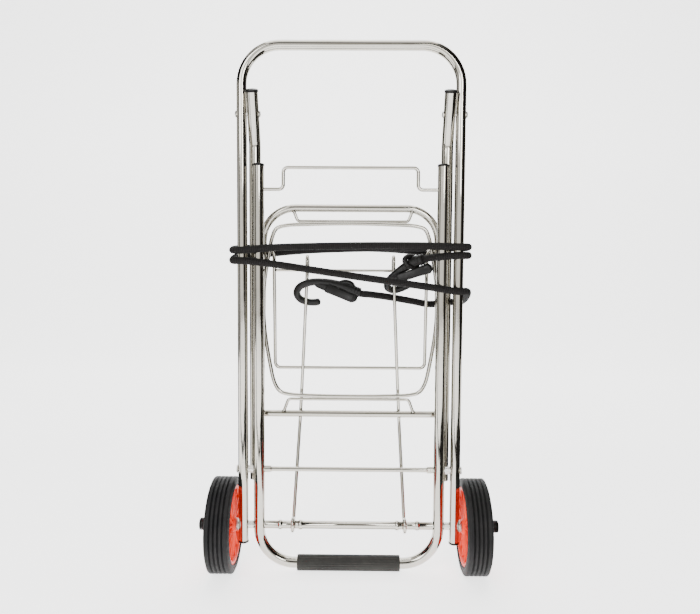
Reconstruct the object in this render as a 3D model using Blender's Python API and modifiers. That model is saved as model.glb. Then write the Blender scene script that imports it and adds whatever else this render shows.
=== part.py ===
"""Folding platform cart, folded and standing on its wheels.

+X is the cart's right, +Y its back, where the platform folds out, and +Z is up. The origin is on the
floor below the middle of the cart. Everything is in metres; MM turns millimetres into metres.

The handle frame and the inner frame stand in one upright plane, y = 0, joined by the axle and the cross
rod. A side tube nests behind each gap between them. The platform hangs behind all of these on two pins.
"""

from math import cos, pi, radians, sin, tan

import bmesh
import bpy
from mathutils import Matrix, Vector

MM = 0.001
GAP = 0.3 * MM  # between pieces that touch or are welded
WALL = 1.2 * MM

# Wheels and axle
WHEEL_R = 60 * MM
WHEEL_INNER_X = 144.5 * MM
WHEEL_OUTER_X = 175.5 * MM
RIM_R = 49 * MM
BOSS_R = 9 * MM
AXLE_R = 3 * MM
AXLE_END_X = 187 * MM
AXLE_Z = WHEEL_R
AXLE_SLEEVE_R = 5 * MM

# Handle frame: the outer U, closed at the top
HANDLE_R = 6.35 * MM
HANDLE_X = 135.5 * MM
HANDLE_TOP_Z = 663.5 * MM
HANDLE_END_Z = 38 * MM
HANDLE_BEND = 47 * MM

# Inner frame: the second U, closed at the bottom by the bar that the cart rests on
INNER_R = 7 * MM
INNER_X = 115 * MM
INNER_TOP_Z = 518 * MM
INNER_BEND = 46 * MM
SLEEVE_R = 10.2 * MM
SLEEVE_HALF = 66 * MM
SLEEVE_SIDES = 24
FOOT_Z = SLEEVE_R * cos(pi / SLEEVE_SIDES)

# Side tubes: upright behind the frames, then leaning forward through the handle's rivets
SIDE_R = 7.5 * MM
SIDE_X = 121.3 * MM
SIDE_Y = 13.9 * MM
SIDE_LEAN_Z = 545 * MM
SIDE_TOP_Y = -10.3 * MM
SIDE_TOP_Z = 606 * MM
SIDE_END_Z = 116 * MM

# Fasteners
RIVET_Z = 580 * MM
CROSS_ROD_Z = 133 * MM
CROSS_ROD_R = 3 * MM
CROSS_ROD_END_X = 143.8 * MM
PIN_R = 2.5 * MM
HEAD_R = 4.2 * MM
SPACER_R = 5 * MM

# Platform: a U of thinner tube, closed at the top, turning on a pin at each side
PLATFORM_R = 5 * MM
PLATFORM_TOP_X = 112.2 * MM
PLATFORM_END_X = 119 * MM
PLATFORM_Y = 27 * MM
PLATFORM_TOP_Z = 467 * MM
PLATFORM_END_Z = 121 * MM
PLATFORM_BEND = 42 * MM
HINGE_Z = 133 * MM
LUG_INNER_X = 124.6 * MM
LUG_THICK = 3 * MM
BAR_R = 4.5 * MM
BAR_Z = 199 * MM
LOOP_R = 2.5 * MM
LOOP_Y = 18.8 * MM
STAPLE_R = 2 * MM
STAPLE_Y = 24 * MM

# Foot wire, its cross wire and the tie rods that swing it out
FOOT_R = 2.25 * MM
FOOT_X = 99 * MM
FOOT_PIVOT_Z = 414.9 * MM
FOOT_TIP_Y = 40 * MM
FOOT_TIP_Z = 258 * MM
CROSS_R = 1.8 * MM
CROSS_Z = 387 * MM
TIE_R = 2.2 * MM
TIE_LOW_X = 72 * MM
TIE_HIGH_X = 56 * MM
TIE_BACK_Y = 34.7 * MM

# Retaining wire between the tops of the inner frame's legs
RETAINER_R = 2.25 * MM
RETAINER_Z = 488 * MM
RETAINER_RISE = 27 * MM
RETAINER_X = 84 * MM

# Elastic cord
CORD_R = 4.5 * MM
CORD_FRONT_Y = -12.2 * MM
CORD_BACK_Y = 46 * MM
CORD_SIDE_X = 147.3 * MM
HOOK_R = 3.9 * MM


def empty_scene():
    for old in list(bpy.data.objects):
        bpy.data.objects.remove(old)


def collection(name):
    made = bpy.data.collections.new(name)
    bpy.context.scene.collection.children.link(made)
    return made


def material(name, colour, roughness, metallic=0.0):
    made = bpy.data.materials.new(name)
    made.use_nodes = True
    shader = made.node_tree.nodes["Principled BSDF"]
    shader.inputs["Base Color"].default_value = (*colour, 1)
    shader.inputs["Roughness"].default_value = roughness
    shader.inputs["Metallic"].default_value = metallic
    return made


empty_scene()
CART = collection("folding_platform_cart")
CHROME = material("chrome", (0.83, 0.82, 0.79), 0.08, 1.0)
ZINC = material("zinc", (0.72, 0.71, 0.68), 0.3, 1.0)
BLACK = material("black_plastic", (0.025, 0.025, 0.025), 0.45)
SLEEVE = material("sleeve_plastic", (0.06, 0.06, 0.055), 0.6)
TYRE = material("tyre_rubber", (0.03, 0.03, 0.032), 0.7)
RED = material("red_plastic", (0.8, 0.06, 0.015), 0.35)
ELASTIC = material("elastic_cord", (0.02, 0.018, 0.018), 0.85)


def pivot(name, y, z):
    """An empty on a hinge's axis. The pieces that turn about it are parented to it."""
    made = bpy.data.objects.new(name, None)
    made.location = (0, y, z)
    made.empty_display_size = 0.02
    CART.objects.link(made)
    return made


def add(name, mesh, finish, turns_on=None):
    """An object of this mesh, with its faces turned outward and its round sides shaded smooth."""
    if turns_on:
        mesh.transform(Matrix.Translation(-turns_on.location))
    shape = bmesh.new()
    shape.from_mesh(mesh)
    bmesh.ops.remove_doubles(shape, verts=shape.verts, dist=1e-6)
    bmesh.ops.recalc_face_normals(shape, faces=shape.faces)
    shape.to_mesh(mesh)
    shape.free()
    mesh.shade_smooth()
    mesh.set_sharp_from_angle(angle=radians(40))
    mesh.materials.clear()
    mesh.materials.append(finish)
    made = bpy.data.objects.new(name, mesh)
    made.parent = turns_on
    CART.objects.link(made)
    return made


def evaluated(obj):
    """The mesh of an object with its modifiers applied. The object itself is removed."""
    graph = bpy.context.evaluated_depsgraph_get()
    mesh = bpy.data.meshes.new_from_object(obj.evaluated_get(graph))
    mesh.transform(obj.matrix_world)
    bpy.data.objects.remove(obj)
    return mesh


def rounded(corners, bend, steps=6, closed=False):
    """A path through these corners, each one replaced by an arc of radius bend."""
    corners = [Vector(c) for c in corners]
    count = len(corners)
    path = []
    for i, corner in enumerate(corners):
        if not closed and i in (0, count - 1):
            path.append(corner)
            continue
        back = (corners[i - 1] - corner).normalized()
        ahead = (corners[(i + 1) % count] - corner).normalized()
        half = back.angle(ahead) / 2
        if half > pi / 2 - 0.01:
            path.append(corner)
            continue
        centre = corner + (back + ahead).normalized() * (bend / sin(half))
        first = corner + back * (bend / tan(half)) - centre
        last = corner + ahead * (bend / tan(half)) - centre
        for step in range(steps + 1):
            path.append(centre + first.normalized().slerp(last.normalized(), step / steps) * bend)
    return path


def smooth(points, steps=4, closed=False):
    """A Catmull-Rom curve through these points."""
    points = [Vector(p) for p in points]
    count = len(points)
    path = []
    for i in range(count if closed else count - 1):
        around = [i - 1, i, i + 1, i + 2]
        if closed:
            a, b, c, d = (points[k % count] for k in around)
        else:
            a, b, c, d = (points[min(max(k, 0), count - 1)] for k in around)
        for step in range(steps):
            t = step / steps
            path.append(
                0.5 * (2 * b + (c - a) * t + (2 * a - 5 * b + 4 * c - d) * t**2 + (3 * b - a - 3 * c + d) * t**3)
            )
    if not closed:
        path.append(points[-1])
    return path


def sweep(path, radius, sides=2, closed=False, caps=True, swell=None):
    """The mesh of a round bar along a path. swell gives each point's share of the radius."""
    curve = bpy.data.curves.new("sweep", "CURVE")
    curve.dimensions = "3D"
    curve.bevel_depth = radius
    curve.bevel_resolution = sides
    curve.use_fill_caps = caps and not closed
    spline = curve.splines.new("POLY")
    spline.points.add(len(path) - 1)
    for i, (point, place) in enumerate(zip(spline.points, path)):
        point.co = (*place, 1)
        point.radius = swell[i] if swell else 1
    spline.use_cyclic_u = closed
    guide = bpy.data.objects.new("sweep", curve)
    CART.objects.link(guide)
    bpy.context.view_layer.update()
    return evaluated(guide)


def bar(name, path, radius, finish, turns_on=None, sides=2, closed=False, swell=None):
    return add(name, sweep(path, radius, sides, closed, swell=swell), finish, turns_on)


def tube(name, path, radius, finish, turns_on=None):
    """A hollow tube with open ends."""
    made = add(name, sweep(path, radius, sides=3, caps=False), finish, turns_on)
    shell = made.modifiers.new("wall", "SOLIDIFY")
    shell.thickness = WALL
    shell.offset = -1
    return made


def cut(obj, cutters):
    """Subtracts these meshes from an object."""
    for number, mesh in enumerate(cutters):
        tool = add(f"{obj.name}_cutter_{number}", mesh, ZINC)
        CART.objects.unlink(tool)
        CUTTERS.objects.link(tool)
        tool.hide_render = True
        tool.display_type = "WIRE"
        hole = obj.modifiers.new("hole", "BOOLEAN")
        hole.operation = "DIFFERENCE"
        hole.object = tool


CUTTERS = collection("cutters")


def cylinder_mesh(start, end, radius, segments=16):
    """A closed cylinder between two points."""
    start, end = Vector(start), Vector(end)
    shape = bmesh.new()
    bmesh.ops.create_cone(
        shape, cap_ends=True, segments=segments, radius1=radius, radius2=radius, depth=(end - start).length
    )
    turn = (end - start).to_track_quat("Z", "Y").to_matrix().to_4x4()
    bmesh.ops.transform(shape, matrix=Matrix.Translation((start + end) / 2) @ turn, verts=shape.verts)
    mesh = bpy.data.meshes.new("cylinder")
    shape.to_mesh(mesh)
    shape.free()
    return mesh


def across(side, inner, outer, y, z, radius, segments=8):
    """A cylinder mesh along X on one side of the cart, from one distance off the middle to another."""
    return cylinder_mesh((side * inner, y, z), (side * outer, y, z), radius, segments)


def spun(profile, steps, closed, place):
    """The mesh of a profile turned about Z, then placed. Its points are (radius, height)."""
    mesh = bpy.data.meshes.new("profile")
    corners = [(r, 0, d) for r, d in profile]
    edges = [(i, i + 1) for i in range(len(corners) - 1)]
    if closed:
        edges.append((len(corners) - 1, 0))
    mesh.from_pydata(corners, edges, [])
    guide = bpy.data.objects.new("profile", mesh)
    CART.objects.link(guide)
    spin = guide.modifiers.new("spin", "SCREW")
    spin.steps = steps
    spin.render_steps = steps
    spin.use_merge_vertices = True
    spin.merge_threshold = 0.00001
    guide.matrix_world = place
    bpy.context.view_layer.update()
    return evaluated(guide)


def turned(name, profile, side, y, z, finish, steps=32, closed=True, turns_on=None, phase=0):
    """A piece turned about an X axis. The profile's points are (radius, distance off the middle)."""
    place = Matrix.Translation((0, y, z)) @ Matrix.Rotation(phase, 4, "X")
    place = place @ Matrix.Rotation(side * pi / 2, 4, "Y")
    return add(name, spun(profile, steps, closed, place), finish, turns_on)


def ring(name, inner_r, outer_r, side, inner_x, outer_x, y, z, finish, steps=12):
    """A flat-ended ring or short sleeve about an X axis."""
    profile = [(inner_r, outer_x), (outer_r, outer_x), (outer_r, inner_x), (inner_r, inner_x)]
    return turned(name, profile, side, y, z, finish, steps)


def leg_x(z):
    """How far off the middle the platform's leg stands at this height."""
    share = (z - PLATFORM_END_Z) / (PLATFORM_TOP_Z - PLATFORM_END_Z)
    return PLATFORM_END_X + (PLATFORM_TOP_X - PLATFORM_END_X) * share


def holes(x, *places):
    """Cutters through a leg at each side. A place is (y, z, radius)."""
    made = []
    for side in (-1, 1):
        for y, z, radius in places:
            made.append(across(side, x - 10 * MM, x + 10 * MM, y, z, radius + GAP))
    return made


def handle_frame():
    corners = [
        (-HANDLE_X, 0, HANDLE_END_Z),
        (-HANDLE_X, 0, HANDLE_TOP_Z),
        (HANDLE_X, 0, HANDLE_TOP_Z),
        (HANDLE_X, 0, HANDLE_END_Z),
    ]
    frame = tube("handle_frame", rounded(corners, HANDLE_BEND), HANDLE_R, CHROME)
    cut(
        frame,
        holes(HANDLE_X, (0, AXLE_Z, AXLE_R), (0, CROSS_ROD_Z, CROSS_ROD_R), (0, RIVET_Z, PIN_R)),
    )


def inner_frame():
    corners = [
        (-INNER_X, 0, INNER_TOP_Z),
        (-INNER_X, 0, FOOT_Z),
        (INNER_X, 0, FOOT_Z),
        (INNER_X, 0, INNER_TOP_Z),
    ]
    frame = tube("inner_frame", rounded(corners, INNER_BEND), INNER_R, CHROME)
    cutters = holes(INNER_X, (0, AXLE_Z, AXLE_R), (0, CROSS_ROD_Z, CROSS_ROD_R))
    for side in (-1, 1):
        cutters.append(across(side, INNER_X - 10 * MM, INNER_X, 0, RETAINER_Z, RETAINER_R + GAP))
    cut(frame, cutters)

    inside = INNER_R + GAP
    chamfer = 0.8 * MM
    profile = [
        (inside, SLEEVE_HALF),
        (SLEEVE_R - chamfer, SLEEVE_HALF),
        (SLEEVE_R, SLEEVE_HALF - chamfer),
        (SLEEVE_R, chamfer - SLEEVE_HALF),
        (SLEEVE_R - chamfer, -SLEEVE_HALF),
        (inside, -SLEEVE_HALF),
    ]
    flat_down = pi / SLEEVE_SIDES
    turned("foot_sleeve", profile, 1, 0, FOOT_Z, SLEEVE, SLEEVE_SIDES, phase=flat_down)


def side_path(side):
    x = side * SIDE_X
    corners = [(x, SIDE_Y, SIDE_END_Z), (x, SIDE_Y, SIDE_LEAN_Z), (x, SIDE_TOP_Y, SIDE_TOP_Z)]
    return rounded(corners, 25 * MM, 4)


def end_plug(name, end, before, tube_r):
    """A plastic plug: a thin cap on the end of a tube and a stem inside it."""
    outward = (Vector(end) - Vector(before)).normalized()
    stem_r = tube_r - WALL - 2 * GAP
    cap_r = tube_r - 0.2 * MM
    profile = [
        (0, 1.5 * MM),
        (cap_r - 1 * MM, 1.5 * MM),
        (cap_r, 0.9 * MM),
        (cap_r, GAP),
        (stem_r, GAP),
        (stem_r, -8 * MM),
        (0, -8 * MM),
    ]
    place = Matrix.Translation(end) @ outward.to_track_quat("Z", "Y").to_matrix().to_4x4()
    add(name, spun(profile, 12, False, place), BLACK)


def pin_profile(inner_x, outer_x):
    """Half the outline of a pin with a head at each end, each head just clear of its face."""
    head = 1.8 * MM
    low, high = inner_x - GAP, outer_x + GAP
    return [
        (0, high + head),
        (HEAD_R * 0.6, high + head),
        (HEAD_R, high + head * 0.4),
        (HEAD_R, high),
        (PIN_R, high),
        (PIN_R, low),
        (HEAD_R, low),
        (HEAD_R, low - head * 0.4),
        (HEAD_R * 0.6, low - head),
        (0, low - head),
    ]


def hinge_lug(word, side):
    """A plate behind the side tube, with the platform's pin through it."""
    front, back = SIDE_Y + SIDE_R + GAP, PLATFORM_Y + 7 * MM
    shape = bmesh.new()
    bmesh.ops.create_cube(shape, size=1)
    size = Matrix.Diagonal((LUG_THICK, back - front, 22 * MM, 1))
    middle = (side * (LUG_INNER_X + LUG_THICK / 2), (front + back) / 2, HINGE_Z)
    bmesh.ops.transform(shape, matrix=Matrix.Translation(middle) @ size, verts=shape.verts)
    mesh = bpy.data.meshes.new("lug")
    shape.to_mesh(mesh)
    shape.free()
    lug = add(f"hinge_lug_{word}", mesh, CHROME)
    x = LUG_INNER_X
    cut(lug, [across(side, x - 5 * MM, x + 9 * MM, PLATFORM_Y, HINGE_Z, PIN_R + GAP)])


def sides():
    """What stands once on each side of the frames."""
    between = (INNER_X + INNER_R + GAP, HANDLE_X - HANDLE_R - GAP)
    outside = HANDLE_X + HANDLE_R + GAP
    for word, side in (("left", -1), ("right", 1)):
        path = side_path(side)
        made = tube(f"side_tube_{word}", path, SIDE_R, CHROME)
        cut(made, [across(side, SIDE_X - 12 * MM, SIDE_X + 12 * MM, 0, RIVET_Z, PIN_R + GAP)])
        end_plug(f"side_tube_cap_{word}", path[-1], path[-2], SIDE_R)
        end_plug(
            f"handle_plug_{word}", (side * HANDLE_X, 0, HANDLE_END_Z), (side * HANDLE_X, 0, 1), HANDLE_R
        )
        end_plug(
            f"inner_frame_plug_{word}", (side * INNER_X, 0, INNER_TOP_Z), (side * INNER_X, 0, 0), INNER_R
        )

        rivet = pin_profile(SIDE_X - SIDE_R, HANDLE_X + HANDLE_R)
        turned(f"upper_rivet_{word}", rivet, side, 0, RIVET_Z, ZINC, 12, closed=False)
        pin = pin_profile(leg_x(HINGE_Z) - PLATFORM_R, LUG_INNER_X + LUG_THICK)
        turned(f"hinge_pin_{word}", pin, side, PLATFORM_Y, HINGE_Z, ZINC, 12, closed=False)
        hinge_lug(word, side)

        ring(f"rod_spacer_{word}", CROSS_ROD_R + GAP, SPACER_R, side, *between, 0, CROSS_ROD_Z, ZINC)
        ring(f"axle_spacer_{word}", AXLE_R + GAP, SPACER_R, side, *between, 0, AXLE_Z, ZINC)
        nut = (outside, outside + 1.2 * MM)
        ring(f"push_nut_{word}", CROSS_ROD_R + GAP, SPACER_R, side, *nut, 0, CROSS_ROD_Z, ZINC)
        washer = (outside, WHEEL_INNER_X - 0.6 * MM)
        ring(f"axle_washer_{word}", AXLE_R + GAP, 7.5 * MM, side, *washer, 0, AXLE_Z, ZINC, 16)


def axle():
    """The axle, the sleeve on its middle with a crimp at each side of each tie rod, and the cross rod."""
    add("axle", cylinder_mesh((-AXLE_END_X, 0, AXLE_Z), (AXLE_END_X, 0, AXLE_Z), AXLE_R), ZINC)
    end = INNER_X - INNER_R - GAP
    outline = []
    for crimp in (88 * MM, 62 * MM, -62 * MM, -88 * MM):
        outline += [
            (AXLE_SLEEVE_R, crimp + 3 * MM),
            (AXLE_SLEEVE_R + 1.2 * MM, crimp),
            (AXLE_SLEEVE_R, crimp - 3 * MM),
        ]
    inside = AXLE_R + GAP
    profile = [(inside, end), (AXLE_SLEEVE_R, end), *outline, (AXLE_SLEEVE_R, -end), (inside, -end)]
    turned("axle_sleeve", profile, 1, 0, AXLE_Z, CHROME, 12)
    rod_ends = [(side * CROSS_ROD_END_X, 0, CROSS_ROD_Z) for side in (-1, 1)]
    add("cross_rod", cylinder_mesh(*rod_ends, CROSS_ROD_R), CHROME)


def tyre_profile():
    """Tread with five ribs between rounded shoulders, then down each wall to the rim."""
    ribs = 5
    groove = 1.8 * MM
    shoulder = 2.5 * MM
    pitch = (WHEEL_OUTER_X - WHEEL_INNER_X - 2 * shoulder) / ribs
    crown = []
    for rib in range(ribs):
        start = WHEEL_OUTER_X - shoulder - rib * pitch
        crown += [(WHEEL_R, start - 0.15 * pitch), (WHEEL_R, start - 0.85 * pitch)]
        if rib < ribs - 1:
            crown.append((WHEEL_R - groove, start - pitch))
    return [
        (RIM_R + GAP, WHEEL_OUTER_X - 1.5 * MM),
        (WHEEL_R - 5 * MM, WHEEL_OUTER_X),
        (WHEEL_R - 1.5 * MM, WHEEL_OUTER_X - 1 * MM),
        *crown,
        (WHEEL_R - 1.5 * MM, WHEEL_INNER_X + 1 * MM),
        (WHEEL_R - 5 * MM, WHEEL_INNER_X),
        (RIM_R + GAP, WHEEL_INNER_X + 1.5 * MM),
    ]


def hub_profile():
    """Rim, dished web and boss of the wheel's plastic centre."""
    middle = (WHEEL_INNER_X + WHEEL_OUTER_X) / 2
    bore = AXLE_R + GAP
    return [
        (bore, WHEEL_OUTER_X - 1 * MM),
        (BOSS_R, WHEEL_OUTER_X - 1 * MM),
        (BOSS_R + 1 * MM, middle + 3 * MM),
        (RIM_R - 5 * MM, middle + 3 * MM),
        (RIM_R - 3 * MM, WHEEL_OUTER_X - 2 * MM),
        (RIM_R, WHEEL_OUTER_X - 2 * MM),
        (RIM_R, WHEEL_INNER_X + 2 * MM),
        (RIM_R - 3 * MM, WHEEL_INNER_X + 2 * MM),
        (RIM_R - 5 * MM, middle - 3 * MM),
        (BOSS_R + 1 * MM, middle - 3 * MM),
        (BOSS_R, WHEEL_INNER_X + 0.2 * MM),
        (bore, WHEEL_INNER_X + 0.2 * MM),
    ]


def wheels():
    cap_end = AXLE_END_X + 5 * MM
    cap_start = WHEEL_OUTER_X + 0.6 * MM
    bore = AXLE_R + GAP
    cap = [
        (0, cap_end),
        (6.6 * MM, cap_end),
        (7.8 * MM, cap_end - 1.2 * MM),
        (7.8 * MM, cap_start),
        (bore, cap_start),
        (bore, AXLE_END_X + GAP),
        (0, AXLE_END_X + GAP),
    ]
    for word, side in (("left", -1), ("right", 1)):
        hub = pivot(f"wheel_axis_{word}", 0, AXLE_Z)
        turned(f"tyre_{word}", tyre_profile(), side, 0, AXLE_Z, TYRE, 28, turns_on=hub)
        turned(f"wheel_hub_{word}", hub_profile(), side, 0, AXLE_Z, RED, 28, turns_on=hub)
        turned(f"axle_cap_{word}", cap, side, 0, AXLE_Z, BLACK, 16, closed=False)


def mirrored(half):
    """A closed outline from its right half, listed from the top's middle to the bottom's."""
    return half + [(-x, z) for x, z in reversed(half[1:-1])]


def end_trim(side):
    """What rounds a leg's lower end off about its hinge, so that it turns clear of the side tube."""
    reach, far, low = PLATFORM_R + 0.15 * MM, 9 * MM, 17 * MM
    arc_points = [(-reach * cos(pi * i / 8), -reach * sin(pi * i / 8)) for i in range(9)]
    outline = [(-far, 0), *arc_points, (far, 0), (far, -low), (-far, -low)]
    x = leg_x(HINGE_Z)
    shape = bmesh.new()
    ends = []
    for off in (x - 9 * MM, x + 9 * MM):
        ends.append([shape.verts.new((side * off, PLATFORM_Y + y, HINGE_Z + z)) for y, z in outline])
    first, last = ends
    shape.faces.new(first)
    shape.faces.new(last[::-1])
    count = len(outline)
    for i in range(count):
        k = (i + 1) % count
        shape.faces.new((first[i], last[i], last[k], first[k]))
    bmesh.ops.recalc_face_normals(shape, faces=shape.faces)
    mesh = bpy.data.meshes.new("trim")
    shape.to_mesh(mesh)
    shape.free()
    return mesh


def platform(axis):
    corners = [
        (-PLATFORM_END_X, PLATFORM_Y, PLATFORM_END_Z),
        (-PLATFORM_TOP_X, PLATFORM_Y, PLATFORM_TOP_Z),
        (PLATFORM_TOP_X, PLATFORM_Y, PLATFORM_TOP_Z),
        (PLATFORM_END_X, PLATFORM_Y, PLATFORM_END_Z),
    ]
    frame = tube("platform_frame", rounded(corners, PLATFORM_BEND), PLATFORM_R, CHROME, axis)
    cutters = holes(leg_x(HINGE_Z), (PLATFORM_Y, HINGE_Z, PIN_R))
    x = leg_x(FOOT_PIVOT_Z)
    for side in (-1, 1):
        cutters.append(across(side, x - 9 * MM, x, PLATFORM_Y, FOOT_PIVOT_Z, FOOT_R + GAP))
    cut(frame, cutters + [end_trim(side) for side in (-1, 1)])
    end = leg_x(BAR_Z) - PLATFORM_R - 2 * GAP
    ends = [(side * end, PLATFORM_Y, BAR_Z) for side in (-1, 1)]
    add("platform_bar", cylinder_mesh(*ends, BAR_R), CHROME, axis)

    half = [(0, 447), (50, 446), (84, 444), (95, 440), (100, 430), (106, 400), (111, 365), (111.8, 343)]
    half += [(110, 310), (104, 270), (97, 240), (90, 230), (80, 226.5), (45, 224.5), (0, 224)]
    points = [(x * MM, LOOP_Y, z * MM) for x, z in mirrored(half)]
    bar("platform_loop", smooth(points, 1, closed=True), LOOP_R, CHROME, axis, closed=True)

    lift = 1.4 * MM  # the staples' slanted legs have slanted ends
    top = PLATFORM_TOP_Z - PLATFORM_R - lift
    low = BAR_Z + BAR_R + lift
    upper = [(-73 * MM, top), (-68 * MM, 450 * MM), (74 * MM, 450 * MM), (79 * MM, top)]
    lower = [(-86 * MM, low), (-80 * MM, 219 * MM), (77 * MM, 219 * MM), (83 * MM, low)]
    for name, outline in (("upper_staple", upper), ("lower_staple", lower)):
        path = [(x, STAPLE_Y, z) for x, z in outline]
        bar(name, rounded(path, 5 * MM, 3), STAPLE_R, CHROME, axis)


def foot_y(z):
    """Where the foot wire's sides stand at this height, with the foot folded in."""
    share = (FOOT_PIVOT_Z - z) / (FOOT_PIVOT_Z - FOOT_TIP_Z)
    return PLATFORM_Y + (FOOT_TIP_Y - PLATFORM_Y) * share


def foot(axis):
    inside = leg_x(FOOT_PIVOT_Z) - 0.8 * MM
    corners = [
        (-inside, PLATFORM_Y, FOOT_PIVOT_Z),
        (-FOOT_X, PLATFORM_Y, FOOT_PIVOT_Z),
        (-FOOT_X, FOOT_TIP_Y, FOOT_TIP_Z),
        (FOOT_X, FOOT_TIP_Y, FOOT_TIP_Z),
        (FOOT_X, PLATFORM_Y, FOOT_PIVOT_Z),
        (inside, PLATFORM_Y, FOOT_PIVOT_Z),
    ]
    bar("foot_wire", rounded(corners, 7 * MM, 4), FOOT_R, CHROME, axis)
    end = FOOT_X - FOOT_R - GAP
    ends = [(side * end, foot_y(CROSS_Z), CROSS_Z) for side in (-1, 1)]
    add("foot_cross_wire", cylinder_mesh(*ends, CROSS_R, 12), CHROME, axis)


def arc(y, z, radius, start, stop, steps):
    """Points (y, z) along an arc. Angles are in degrees from +Y toward +Z."""
    made = []
    for step in range(steps + 1):
        angle = radians(start + (stop - start) * step / steps)
        made.append((y + radius * cos(angle), z + radius * sin(angle)))
    return made


def tie_rod_path():
    """Points (y, z): the ring round the axle's sleeve, the cranked stem, the eye round the cross wire."""
    ring_r = AXLE_SLEEVE_R + TIE_R + 0.7 * MM
    wire_y = foot_y(CROSS_Z)
    front = wire_y - 4.6 * MM
    eye_r = 6.9 * MM
    middle = front + eye_r
    path = arc(0, AXLE_Z, ring_r, 58, 346, 9)
    path += [(TIE_BACK_Y - 1.5 * MM, 180 * MM), (TIE_BACK_Y, 192 * MM), (TIE_BACK_Y, 262 * MM)]
    path += [(front, CROSS_Z - 8 * MM)]
    path += arc(middle, CROSS_Z + 11 * MM, eye_r, 180, 0, 6)
    path += arc(middle, CROSS_Z + 0.4 * MM, eye_r, 0, -95, 4)
    return path


def tie_rods(axis):
    for word, side in (("left", -1), ("right", 1)):
        path = []
        for y, z in tie_rod_path():
            share = min(max((z - AXLE_Z) / (CROSS_Z - 8 * MM - AXLE_Z), 0), 1)
            path.append((side * (TIE_LOW_X + (TIE_HIGH_X - TIE_LOW_X) * share), y, z))
        bar(f"tie_rod_{word}", path, TIE_R, CHROME, axis)


def retaining_wire(axis):
    inside = INNER_X - 1 * MM
    high = RETAINER_Z + RETAINER_RISE
    corners = [
        (-inside, 0, RETAINER_Z),
        (-RETAINER_X, 0, RETAINER_Z),
        (-RETAINER_X, 0, high),
        (RETAINER_X, 0, high),
        (RETAINER_X, 0, RETAINER_Z),
        (inside, 0, RETAINER_Z),
    ]
    bar("retaining_wire", rounded(corners, 6 * MM, 4), RETAINER_R, CHROME, axis)


def round_the_side(side, z_front, z_back, to_front, back_y):
    """The cord's way round one side of the frames, between its front and back runs."""
    x = CORD_SIDE_X
    way = [
        (side * (x - 13 * MM), CORD_FRONT_Y, z_front),
        (side * (x - 2.4 * MM), CORD_FRONT_Y + 3.2 * MM, z_front),
        (side * x, 0, z_front * 0.8 + z_back * 0.2),
        (side * x, back_y - 14 * MM, z_front * 0.2 + z_back * 0.8),
        (side * (x - 4 * MM), back_y - 4 * MM, z_back),
        (side * (x - 14 * MM), back_y, z_back),
    ]
    return way[::-1] if to_front else way


def cord_route():
    """From the lower hook, round the folded cart two and a half times, to the upper hook."""
    back, far_back = CORD_BACK_Y, CORD_BACK_Y + 9.3 * MM
    return [
        (12 * MM, 17 * MM, 358 * MM),
        (25 * MM, 22 * MM, 356.5 * MM),
        (42 * MM, 31.5 * MM, 354 * MM),
        (60 * MM, 38.5 * MM, 351 * MM),
        (82 * MM, 43.5 * MM, 347 * MM),
        (105 * MM, back, 343 * MM),
        *round_the_side(1, 362.5 * MM, 346 * MM, True, back),
        (100 * MM, CORD_FRONT_Y, 367.4 * MM),
        (-10 * MM, CORD_FRONT_Y, 382.6 * MM),
        (-105 * MM, CORD_FRONT_Y, 396.2 * MM),
        *round_the_side(-1, 399 * MM, 406 * MM, False, back),
        (-60 * MM, back, 413 * MM),
        (60 * MM, back, 417 * MM),
        *round_the_side(1, 417.5 * MM, 417 * MM, True, back),
        (90 * MM, CORD_FRONT_Y, 418.5 * MM),
        (0, CORD_FRONT_Y, 418 * MM),
        (-100 * MM, CORD_FRONT_Y, 415 * MM),
        *round_the_side(-1, 412 * MM, 416 * MM, False, far_back),
        (-60 * MM, far_back, 417 * MM),
        (60 * MM, far_back, 415 * MM),
        *round_the_side(1, 407 * MM, 407 * MM, True, far_back),
        (122 * MM, CORD_FRONT_Y, 406 * MM),
        (109 * MM, -10.6 * MM, 405 * MM),
        (101 * MM, -4 * MM, 404 * MM),
        (93 * MM, 3 * MM, 402.5 * MM),
    ]


def cord_and_hooks():
    """The cord, and at each end a plastic hook whose shank passes before a tie rod and its tip behind."""
    bar("elastic_cord", smooth(cord_route(), 1), CORD_R, ELASTIC)
    lower = [(3, 16, 362), (-10, 16.5, 367), (-26, 17, 371), (-42, 17.8, 372.5), (-54, 18.2, 371)]
    lower += [(-65, 21, 366), (-69.5, 27, 358), (-66, 33, 350), (-58, 35, 346), (-47, 35.4, 345)]
    lower += [(-39, 35.4, 346.5)]
    upper = [(83.5, 8, 400), (76, 10.5, 396), (68, 13, 391), (60, 14.5, 385), (52, 16.5, 378)]
    upper += [(48, 21, 371), (49, 28, 365), (57, 33.6, 362), (68, 34.2, 365), (80, 34.2, 371)]
    for name, points in (("bungee_hook_left", lower), ("bungee_hook_right", upper)):
        path = smooth([(x * MM, y * MM, z * MM) for x, y, z in points], 2)
        share = [i / len(path) for i in range(len(path))]
        swell = [1.6 if t < 0.2 else 1.25 if t < 0.3 else 1 for t in share]
        bar(name, path, HOOK_R, BLACK, swell=swell)


handle_frame()
inner_frame()
sides()
axle()
wheels()
platform_axis = pivot("platform_axis", PLATFORM_Y, HINGE_Z)
platform(platform_axis)
foot(pivot("foot_axis", PLATFORM_Y, FOOT_PIVOT_Z))
tie_rods(pivot("tie_rod_axis", 0, AXLE_Z))
retaining_wire(pivot("retaining_wire_axis", 0, RETAINER_Z))
cord_and_hooks()
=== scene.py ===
"""The folding platform cart's looks: smooth chrome over the CAD frame, in a pale studio.

Axes as in the CAD: +X right, -Y toward the camera, +Z up, in metres. Every piece replaces the CAD node of
its own name and rides on that node's body.
"""

from math import cos, pi, radians, sin, tan

import bmesh
import bpy
from mathutils import Matrix, Vector


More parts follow.
